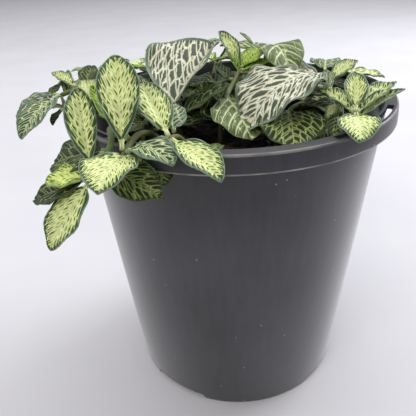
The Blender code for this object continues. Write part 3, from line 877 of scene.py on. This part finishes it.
def leafSheet(name, rows, columns):
    bpy.ops.mesh.primitive_grid_add(x_subdivisions=rows, y_subdivisions=columns, size=1)
    sheet = bpy.context.object
    sheet.name = name
    flat = np.empty(len(sheet.data.vertices) * 3)
    sheet.data.vertices.foreach_get("co", flat)
    flat = flat.reshape(-1, 3)
    return sheet, flat[:, 0] + 0.5, flat[:, 1] * 2


def setAttribute(mesh, name, values):
    kind = "FLOAT" if values.ndim == 1 else "FLOAT_VECTOR"
    attribute = mesh.attributes.new(name, kind, "POINT")
    attribute.data.foreach_set("value" if values.ndim == 1 else "vector", values.astype(np.float32).ravel())


# Relief in mm: sunk midrib and side veins, raised skin between them, a wavy margin.
def bladeRelief(s, across, half, phase, spacing, width, shape, rng):
    reach = np.abs(half * across)
    lateralDistance = np.abs(phase - np.round(phase)) * spacing
    relief = -blade["ribDepth"] * np.exp(-(reach / blade["ribSpread"]) ** 2)
    relief -= blade["veinDepth"] * np.exp(-(lateralDistance / blade["veinSpread"]) ** 2)
    relief += blade["pucker"] * np.sin(pi * np.clip(reach / np.maximum(half, 0.5), 0, 1)) * (
        0.5 - 0.5 * np.cos(2 * pi * phase))
    waves = shape.get("wave", blade["wave"]) * (width / blade["waveWidth"])
    turns = rng.uniform(*blade["waveTurns"])
    shift = rng.uniform(0, 2 * pi, 2)
    ripple = np.sin(2 * pi * turns * s + np.where(across > 0, shift[0], shift[1]))
    relief += waves * np.abs(across) ** 3 * ripple
    return relief * np.clip(s / 0.06, 0, 1)


# The stalk's part of the sheet curls up into a grooved tube.
def curlStalk(points, across, s):
    curl = across * radians(blade["stalkCurl"])
    tube = blade["stalkWidth"] / 2 * 0.8
    stalkY = tube * np.sin(curl)
    stalkZ = points[:, 2] + tube * (1 - np.cos(curl)) - tube * 0.7
    blend = 1 - np.clip((s + 0.05) / 0.09, 0, 1)
    points[:, 1] = points[:, 1] * (1 - blend) + stalkY * blend
    points[:, 2] = points[:, 2] * (1 - blend) + stalkZ * blend


def makeLeaf(name, root, sizes, lookName, shape, rng):
    sizes = shape.get("aim", sizes)
    sizes = sizes[:4] + (sizes[4] * blade["fuller"],) + sizes[5:]
    length, width = sizes[3:5]
    look = leafLooks[lookName]
    rows = int(min(max(length / blade["cellSize"], 28), 84))
    columns = 2 * int(min(max(width / blade["cellSize"] / 2, 9), 32))
    sheet, start, across = leafSheet(name, rows, columns)
    rootShare = blade["stalkRoot"] / length
    along = start * (1 + rootShare) - rootShare
    stalk = blade["stalkShare"]
    s = (along - stalk) / (1 - stalk)
    half = sideHalf(s, width, across, shape)
    rise = sideHalf(s + 0.01, width, across, shape) - sideHalf(s - 0.01, width, across, shape)
    slope = rise / (0.02 * length * (1 - stalk))
    bladeLength = length * (1 - stalk)
    forward = s * bladeLength
    aside = half * across
    reach = np.abs(aside)
    count = shape.get("laterals", look["laterals"])
    spacing = bladeLength / (count + 1)
    lead = shape.get("slope", look["slope"]) * reach + blade["veinBend"] * reach ** 2 / np.maximum(half, 0.5)
    phase = (forward - lead) / spacing + np.where(across > 0, blade["halfShift"], 0.0)
    toMargin = (half - reach) / np.sqrt(1 + np.minimum(slope, 8) ** 2)
    toMargin = np.where(s < 0.02, 9.0, toMargin)
    ribWidth = look["midrib"] / 2 * (1.15 - 0.75 * np.clip(s, 0, 1))
    fromRib = np.where(s < 0.0, 0.0, reach / ribWidth)
    relief = bladeRelief(s, across, half, phase, spacing, width, shape, rng)
    points = leafPoints(along, across, sizes, shape, relief, stalk)
    curlStalk(points, across, s)
    placed = (points @ leafTurn(sizes).T + root) * mm
    sheet.data.vertices.foreach_set("co", placed.astype(np.float32).ravel())
    seed = rng.uniform(0, 90, 2)
    setAttribute(sheet.data, "flat", np.stack([forward + seed[0], aside + seed[1], 0 * s + seed[0]], -1))
    setAttribute(sheet.data, "blade", np.stack([phase, aside + 7 * seed[0] // 1, toMargin], -1))
    setAttribute(sheet.data, "rib", np.stack([fromRib, reach / np.maximum(half, 0.3), s], -1))
    setAttribute(sheet.data, "spacing", 0 * s + spacing)
    sheet.data.materials.append(leafSkins[lookName])
    sheet.data.materials.append(leafSkins["under"])
    applyModifier(sheet, "SOLIDIFY", thickness=blade["thickness"] * mm, offset=0.0, material_offset=1)
    sheet.data.shade_smooth()
    return sheet


def makeLeaves():
    rng = np.random.default_rng(blade["seed"])
    for key, (sizes, lookName, shape) in leaves.items():
        node = "leaf_" + key
        piece = makeLeaf("blade_" + key, nodeRoot(node, sizes), sizes, lookName, shape, rng)
        finishPiece(piece, [node])


makeLeaves()
print("leaves")

# Young leaves and low shoots

# name: foot (x, y, height over the rim) in mm, then the same as in leaves
youngLeaves = {
    "left_lime_bud": ((-86, 12, -2), (-126, 65, 0, 4, 3, 10, 20), "lime", {}),
    "left_dark_back": ((-80, 17, 4), (-121, -17, 0, 9, 5, 20, 10), "dark", {}),
    "left_dark_narrow": ((-77, 13, 1), (103, 45, 0, 12, 3, 10, 25), "dark", {}),
    "left_pale_tip": ((-76, 16, 1), (97, 46, 0, 12, 4, 10, 20), "striped", {}),
    "left_rear_arched": ((-66, 32, 5), (-175, 36, 0, 12, 6, 50, 5), "under", {}),
    "left_cream": ((-65, 20, 5), (-148, 4, 0, 12, 6, 30, 10), "striped", {}),
    "left_rear_green": ((-63, 23, 2), (111, 33, 0, 11, 6, 20, 10), "dark", {}),
    "left_triangle": ((-64, 4, 0), (103, 37, 0, 12, 10, 15, 30), "striped", {}),
    "left_under_curl": ((-77, 0, -4), (-117, -12, 0, 8, 4, 40, 20), "dark", {}),
    "left_under_thin": ((-76, 4, -3), (175, 10, 40, 8, 4, 30, 10), "dark", {}),
    "centre_rear_green": ((-1, 49, 15), (-176, 7, 0, 10, 5, 30, 10), "under", {}),
    "centre_lime_slip": ((0, 34, 9), (-150, 5, 0, 10, 3, 20, 10), "lime", {}),
    "centre_dark_leaf": ((2, 15, 0), (138, 49, 0, 14, 8, 20, 10), "dark", {}),
    "centre_low_dark": ((-4, -4, -5), (108, 51, 0, 21, 9, 30, 10), "dark", {}),
    "centre_olive_side": ((-13, -12, -4), (84, 55, 0, 15, 6, 20, 10), "olive", {}),
    "centre_left_curl": ((-30, 30, 10), (153, 43, 0, 12, 5, 40, 20), "striped", {}),
    "centre_back_lime": ((-39, 32, 6), (177, 21, 0, 9, 5, 30, 10), "lime", {}),
    "middle_pale_slip": ((16, 51, 11), (151, 45, 0, 10, 3, 10, 20), "striped", {}),
    "middle_small_green": ((13, 15, 5), (-55, 6, 0, 11, 4, 40, 20), "dark", {}),
    "middle_under_olive": ((26, 18, 1), (179, 30, 0, 13, 6, 20, 5), "olive", {}),
    "middle_lime_left": ((6, 20, 4), (115, 40, 0, 17, 4, 10, 30), "lime", {}),
    "right_streaked": ((39, -31, 3), (-125, -12, 0, 10, 5, 30, 20), "striped", {}),
    "right_low_olive": ((38, -37, 1), (-110, -12, 0, 14, 7, 20, 10), "dark", {}),
    "right_shadow": ((38, -22, 4), (170, 6, 0, 11, 7, 20, 5), "dark", {}),
    "rear_right_grey": ((43, -5, 1), (81, 27, 0, 13, 4, 10, 30), "veined", {}),
    "rear_right_small": ((50, 11, 4), (-21, 3, 0, 7, 3, 10, 10), "dark", {}),
    "front_inside_olive": ((-10, -51, -7), (96, -6, 0, 17, 9, 10, 5), "olive", {}),
    "front_dark_under": ((-34, -54, -1), (-60, -18, 0, 18, 13, 30, 10), "shadedBold", {}),
}

lowShoots = {
    "seed": 23,
    "stemRadius": 1.0,
    "pairs": 2,
    "length": (19, 26),
    "width": (12, 16),
    "pitch": (8, 26),
    "roll": (-8, 8),
    "droop": (18, 38),
    "fold": (6, 14),
    "turnSpread": 14,
    "pairSpacing": 5.0,
    "rooted": 2.0,  # mm of stem under the soil's top
    # the low shoots stand inside the pot's mouth, so they take the looks that carry painted shade
    "looks": ("shadedBold", "dark", "shadedBold", "dark"),
    "reach": 61.0,  # from the pot's middle, to stay inside its wall
    "places": [  # x, y, height over the soil, turn of the first pair
        (-2, 4, 13, 20), (22, 8, 14, 75), (-22, 14, 14, 140), (-6, 26, 17, 60), (10, 50, 16, 10),
        (34, 20, 15, 110), (47, -6, 14, 80), (43, 25, 15, 30), (-45, 2, 13, 100), (-38, -8, 12, 160),
        (-24, 50, 16, 170), (-45, 27, 15, 130), (32, 50, 15, 70), (24, -34, 8, 40), (42, -24, 9, 150),
    ],
}


def makeTwig(name, start, way, end):
    span = np.linalg.norm(end - start)
    curve = bpy.data.curves.new(name, "CURVE")
    curve.dimensions = "3D"
    curve.bevel_depth = stem["twigRadius"] * mm
    curve.bevel_resolution = 2
    curve.use_fill_caps = True
    spline = curve.splines.new("POLY")
    spline.points.add(7)
    for point, share in zip(spline.points, np.linspace(0, 1, 8)):
        bow = start - way * span * 0.5
        place = start * (1 - share) ** 2 + bow * 2 * share * (1 - share) + end * share ** 2
        point.co = (*(place * mm), 1)
    twig = bpy.data.objects.new(name, curve)
    bpy.context.collection.objects.link(twig)
    selectOnly(twig)
    bpy.ops.object.convert(target="MESH")
    bpy.ops.object.mode_set(mode="EDIT")
    bpy.ops.mesh.select_all(action="SELECT")
    bpy.ops.mesh.remove_doubles(threshold=0.00001)
    bpy.ops.mesh.normals_make_consistent(inside=False)
    bpy.ops.object.mode_set(mode="OBJECT")
    twig.data.materials.append(stemCover)
    twig.data.shade_smooth()
    finishPiece(twig)


def makeYoungLeaves():
    rng = np.random.default_rng(blade["seed"] + 1)
    rimTop = np.array((0, 0, potHigh[2] / mm))
    stems = [node for name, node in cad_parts.items() if name.startswith("stem_")]
    bark = np.array([v.co / mm for node in stems for v in node.data.vertices])
    for key, (foot, sizes, lookName, shape) in youngLeaves.items():
        root = rimTop + foot
        piece = makeLeaf("young_" + key, root, sizes, lookName, shape, rng)
        finishPiece(piece)
        way = leafTurn(sizes) @ np.array((1.0, 0.0, 0.0))
        nearest = bark[np.argmin(np.linalg.norm(bark - root, axis=1))]
        makeTwig("twig_" + key, root + way * 0.8, way, nearest)


def makeLowStem(name, x, y, height):
    depth = height + lowShoots["rooted"]
    middle = soilHigh[2] / mm - lowShoots["rooted"] + depth / 2
    bpy.ops.mesh.primitive_cylinder_add(
        vertices=14, radius=lowShoots["stemRadius"] * mm, depth=depth * mm,
        location=(x * mm, y * mm, middle * mm))
    stalk = bpy.context.object
    stalk.name = name + "_stem"
    bpy.ops.object.transform_apply(location=True, rotation=True, scale=True)
    stalk.data.materials.append(stemCover)
    applyModifier(stalk, "BEVEL", width=0.4 * mm, segments=2, limit_method="ANGLE")
    stalk.data.shade_smooth()
    finishPiece(stalk)


def makeLowLeaf(name, x, y, level, turn, rng):
    spread = lowShoots["turnSpread"]
    heading = turn + rng.uniform(-spread, spread)
    wayX, wayY = cos(radians(heading)), sin(radians(heading))
    length = rng.uniform(*lowShoots["length"])
    while np.hypot(x + length * wayX, y + length * wayY) > lowShoots["reach"]:
        length -= 0.5
    sizes = (heading, rng.uniform(*lowShoots["pitch"]), rng.uniform(*lowShoots["roll"]), length,
             rng.uniform(*lowShoots["width"]), rng.uniform(*lowShoots["droop"]),
             rng.uniform(*lowShoots["fold"]))
    lookName = lowShoots["looks"][rng.integers(4)]
    leaf = makeLeaf(name, np.array((x, y, level)), sizes, lookName, {}, rng)
    finishPiece(leaf)


def makeLowShoots():
    rng = np.random.default_rng(lowShoots["seed"])
    for index, (x, y, height, turn) in enumerate(lowShoots["places"]):
        name = "low_shoot_%02d" % (index + 1)
        makeLowStem(name, x, y, height)
        for pair in range(lowShoots["pairs"]):
            below = lowShoots["pairSpacing"] * (lowShoots["pairs"] - 1 - pair)
            level = soilHigh[2] / mm + height - below
            for side in (0, 1):
                leafName = "%s_leaf_%d_%d" % (name, pair + 1, side + 1)
                makeLowLeaf(leafName, x, y, level, turn + 90 * pair + 180 * side, rng)


makeYoungLeaves()
makeLowShoots()
print("young leaves and low shoots")
